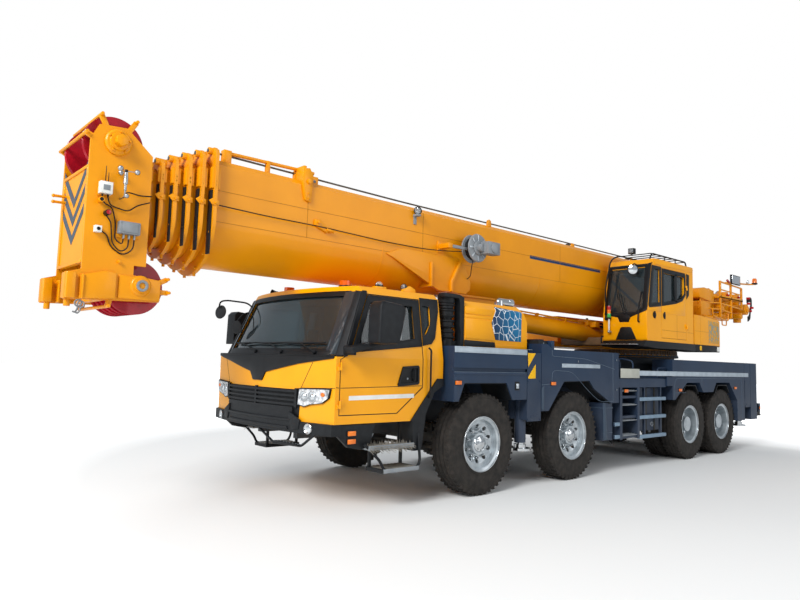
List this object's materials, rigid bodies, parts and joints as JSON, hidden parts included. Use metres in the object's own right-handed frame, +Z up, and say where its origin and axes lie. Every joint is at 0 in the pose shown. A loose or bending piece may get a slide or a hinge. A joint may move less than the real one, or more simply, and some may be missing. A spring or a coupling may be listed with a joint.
{
  "type": "four-axle truck crane",
  "caption": "Truck crane with a telescopic boom stored over its cab: wheels roll and steer, outriggers reach out, the superstructure slews and the boom lifts and extends.",
  "frame": {"origin": "on the ground, under the middle of the crane's box", "axes": "+X to the front of the crane, +Y to its left, +Z up"},
  "size_m": [14.4, 3.3, 3.8349],
  "materials": {
    "cab_paint": "gloss yellow paint",
    "crane_paint": "semi-gloss yellow paint",
    "frame_paint": "dark slate paint",
    "body_paint": "slate blue paint",
    "axle_paint": "black paint",
    "engine_iron": "as cast",
    "black_plastic": "moulded",
    "cab_plastic": "moulded and fabric",
    "lamp_lens": "clear lens",
    "window_glass": "tinted",
    "tyre_rubber": "road tread",
    "wheel_alloy": "satin",
    "rod_chrome": "polished",
    "sheave_paint": "dark red paint"
  },
  "bodies": {
    "carrier": {"chassis": "frame_paint", "axles": "axle_paint", "cab_shell": "cab_paint", "cab_glass": "window_glass", "cab_interior": "cab_plastic", "cab_trim": "black_plastic", "lamps": "lamp_lens", "hood": "cab_paint", "engine": "engine_iron", "side_boxes": "body_paint", "rear_deck": "body_paint", "tank_rack": "body_paint"},
    "cab_door_left": {"door_left": "cab_paint", "mirror_left": "black_plastic"},
    "cab_door_right": {"door_right": "cab_paint", "mirror_right": "black_plastic"},
    "knuckle_1l": {"knuckle_1l": "axle_paint"},
    "knuckle_1r": {"knuckle_1r": "axle_paint"},
    "knuckle_2l": {"knuckle_2l": "axle_paint"},
    "knuckle_2r": {"knuckle_2r": "axle_paint"},
    "road_wheel_1l": {"tyre_1l": "tyre_rubber", "wheel_1l": "wheel_alloy"},
    "road_wheel_1r": {"tyre_1r": "tyre_rubber", "wheel_1r": "wheel_alloy"},
    "road_wheel_2l": {"tyre_2l": "tyre_rubber", "wheel_2l": "wheel_alloy"},
    "road_wheel_2r": {"tyre_2r": "tyre_rubber", "wheel_2r": "wheel_alloy"},
    "road_wheel_3l": {"tyre_3l": "tyre_rubber", "wheel_3l": "wheel_alloy"},
    "road_wheel_3r": {"tyre_3r": "tyre_rubber", "wheel_3r": "wheel_alloy"},
    "road_wheel_4l": {"tyre_4l": "tyre_rubber", "wheel_4l": "wheel_alloy"},
    "road_wheel_4r": {"tyre_4r": "tyre_rubber", "wheel_4r": "wheel_alloy"},
    "beam_fl": {"beam_fl": "body_paint"},
    "jack_fl": {"jack_fl": "rod_chrome"},
    "beam_fr": {"beam_fr": "body_paint"},
    "jack_fr": {"jack_fr": "rod_chrome"},
    "beam_rl": {"beam_rl": "body_paint"},
    "jack_rl": {"jack_rl": "rod_chrome"},
    "beam_rr": {"beam_rr": "body_paint"},
    "jack_rr": {"jack_rr": "rod_chrome"},
    "superstructure": {"turntable": "crane_paint", "op_cab": "cab_paint", "op_glass": "window_glass", "winches": "crane_paint"},
    "op_cab_door": {"op_door": "cab_paint"},
    "boom_section_1": {"boom_1": "crane_paint"},
    "boom_section_2": {"boom_2": "crane_paint"},
    "boom_section_3": {"boom_3": "crane_paint"},
    "boom_section_4": {"boom_4": "crane_paint"},
    "boom_section_5": {"boom_5": "crane_paint"},
    "boom_section_6": {"boom_6": "crane_paint"},
    "lift_barrel": {"lift_barrel": "crane_paint"},
    "lift_rod": {"lift_rod": "rod_chrome"},
    "sheave_upper": {"sheave_upper": "sheave_paint"},
    "sheave_lower": {"sheave_lower": "sheave_paint"}
  },
  "joints": [
    {"name": "cab_door_left_hinge", "type": "hinge", "parent": "carrier", "child": "cab_door_left", "pos_m": [4.768, 1.284, 1.6], "axis": [0, 0, -1], "range_deg": [0, 70]},
    {"name": "cab_door_right_hinge", "type": "hinge", "parent": "carrier", "child": "cab_door_right", "pos_m": [4.768, -1.284, 1.6], "axis": [0, 0, 1], "range_deg": [0, 70]},
    {"name": "steer_1l", "type": "hinge", "parent": "carrier", "child": "knuckle_1l", "pos_m": [2.65, 0.985, 0.615], "axis": [0, 0, 1], "range_deg": [-30, 30]},
    {"name": "steer_1r", "type": "hinge", "parent": "carrier", "child": "knuckle_1r", "pos_m": [2.65, -0.985, 0.615], "axis": [0, 0, 1], "range_deg": [-30, 30]},
    {"name": "steer_2l", "type": "hinge", "parent": "carrier", "child": "knuckle_2l", "pos_m": [0.71, 0.985, 0.615], "axis": [0, 0, 1], "range_deg": [-22, 22]},
    {"name": "steer_2r", "type": "hinge", "parent": "carrier", "child": "knuckle_2r", "pos_m": [0.71, -0.985, 0.615], "axis": [0, 0, 1], "range_deg": [-22, 22]},
    {"name": "roll_1l", "type": "hinge", "parent": "knuckle_1l", "child": "road_wheel_1l", "pos_m": [2.65, 1.215, 0.615], "axis": [0, 1, 0], "continuous": true},
    {"name": "roll_1r", "type": "hinge", "parent": "knuckle_1r", "child": "road_wheel_1r", "pos_m": [2.65, -1.215, 0.615], "axis": [0, 1, 0], "continuous": true},
    {"name": "roll_2l", "type": "hinge", "parent": "knuckle_2l", "child": "road_wheel_2l", "pos_m": [0.71, 1.215, 0.615], "axis": [0, 1, 0], "continuous": true},
    {"name": "roll_2r", "type": "hinge", "parent": "knuckle_2r", "child": "road_wheel_2r", "pos_m": [0.71, -1.215, 0.615], "axis": [0, 1, 0], "continuous": true},
    {"name": "roll_3l", "type": "hinge", "parent": "carrier", "child": "road_wheel_3l", "pos_m": [-3, 1.215, 0.615], "axis": [0, 1, 0], "continuous": true},
    {"name": "roll_3r", "type": "hinge", "parent": "carrier", "child": "road_wheel_3r", "pos_m": [-3, -1.215, 0.615], "axis": [0, 1, 0], "continuous": true},
    {"name": "roll_4l", "type": "hinge", "parent": "carrier", "child": "road_wheel_4l", "pos_m": [-4.35, 1.215, 0.615], "axis": [0, 1, 0], "continuous": true},
    {"name": "roll_4r", "type": "hinge", "parent": "carrier", "child": "road_wheel_4r", "pos_m": [-4.35, -1.215, 0.615], "axis": [0, 1, 0], "continuous": true},
    {"name": "outrigger_fl", "type": "slide", "parent": "carrier", "child": "beam_fl", "axis": [0, 1, 0], "range_m": [0, 1.6]},
    {"name": "jack_fl_slide", "type": "slide", "parent": "beam_fl", "child": "jack_fl", "axis": [0, 0, -1], "range_m": [0, 0.6]},
    {"name": "outrigger_fr", "type": "slide", "parent": "carrier", "child": "beam_fr", "axis": [0, -1, 0], "range_m": [0, 1.6]},
    {"name": "jack_fr_slide", "type": "slide", "parent": "beam_fr", "child": "jack_fr", "axis": [0, 0, -1], "range_m": [0, 0.6]},
    {"name": "outrigger_rl", "type": "slide", "parent": "carrier", "child": "beam_rl", "axis": [0, 1, 0], "range_m": [0, 1.6]},
    {"name": "jack_rl_slide", "type": "slide", "parent": "beam_rl", "child": "jack_rl", "axis": [0, 0, -1], "range_m": [0, 0.6]},
    {"name": "outrigger_rr", "type": "slide", "parent": "carrier", "child": "beam_rr", "axis": [0, -1, 0], "range_m": [0, 1.6]},
    {"name": "jack_rr_slide", "type": "slide", "parent": "beam_rr", "child": "jack_rr", "axis": [0, 0, -1], "range_m": [0, 0.6]},
    {"name": "slew", "type": "hinge", "parent": "carrier", "child": "superstructure", "pos_m": [-3.15, 0, 1.8], "axis": [0, 0, 1], "continuous": true},
    {"name": "op_door_hinge", "type": "hinge", "parent": "superstructure", "child": "op_cab_door", "pos_m": [-2.844, 1.394, 2.7], "axis": [0, 0, 1], "range_deg": [0, 75]},
    {"name": "luff", "type": "hinge", "parent": "superstructure", "child": "boom_section_1", "pos_m": [-5.4, 0, 3], "axis": [0, -1, 0], "range_deg": [0, 80]},
    {"name": "telescope_2", "type": "slide", "parent": "boom_section_1", "child": "boom_section_2", "axis": [1, 0, 0], "range_m": [0, 8.6]},
    {"name": "telescope_3", "type": "slide", "parent": "boom_section_2", "child": "boom_section_3", "axis": [1, 0, 0], "range_m": [0, 8.6]},
    {"name": "telescope_4", "type": "slide", "parent": "boom_section_3", "child": "boom_section_4", "axis": [1, 0, 0], "range_m": [0, 8.6]},
    {"name": "telescope_5", "type": "slide", "parent": "boom_section_4", "child": "boom_section_5", "axis": [1, 0, 0], "range_m": [0, 8.6]},
    {"name": "telescope_6", "type": "slide", "parent": "boom_section_5", "child": "boom_section_6", "axis": [1, 0, 0], "range_m": [0, 8.6]},
    {"name": "lift_barrel_turn", "type": "hinge", "parent": "superstructure", "child": "lift_barrel", "pos_m": [-2.85, 0, 2.16], "axis": [0, -1, 0], "range_deg": [0, 95]},
    {"name": "lift_rod_slide", "type": "slide", "parent": "lift_barrel", "child": "lift_rod", "axis": [0.9991, 0, 0.0414], "range_m": [0, 3.3]},
    {"name": "sheave_upper_spin", "type": "hinge", "parent": "boom_section_6", "child": "sheave_upper", "pos_m": [6.83, 0, 3.56], "axis": [0, 1, 0], "continuous": true},
    {"name": "sheave_lower_spin", "type": "hinge", "parent": "boom_section_6", "child": "sheave_lower", "pos_m": [6.54, 0, 2.23], "axis": [0, 1, 0], "continuous": true}
  ],
  "couplings": [
    {"joint": "steer_1r", "follows": "steer_1l", "ratio": 1},
    {"joint": "steer_2l", "follows": "steer_1l", "ratio": 0.73},
    {"joint": "steer_2r", "follows": "steer_1l", "ratio": 0.73},
    {"joint": "telescope_3", "follows": "telescope_2", "ratio": 1},
    {"joint": "telescope_4", "follows": "telescope_2", "ratio": 1},
    {"joint": "telescope_5", "follows": "telescope_2", "ratio": 1},
    {"joint": "telescope_6", "follows": "telescope_2", "ratio": 1},
    {"joint": "lift_barrel_turn", "follows": "luff", "ratio": 1.1675},
    {"joint": "lift_rod_slide", "follows": "luff", "m_per_rad": 2.2963}
  ]
}
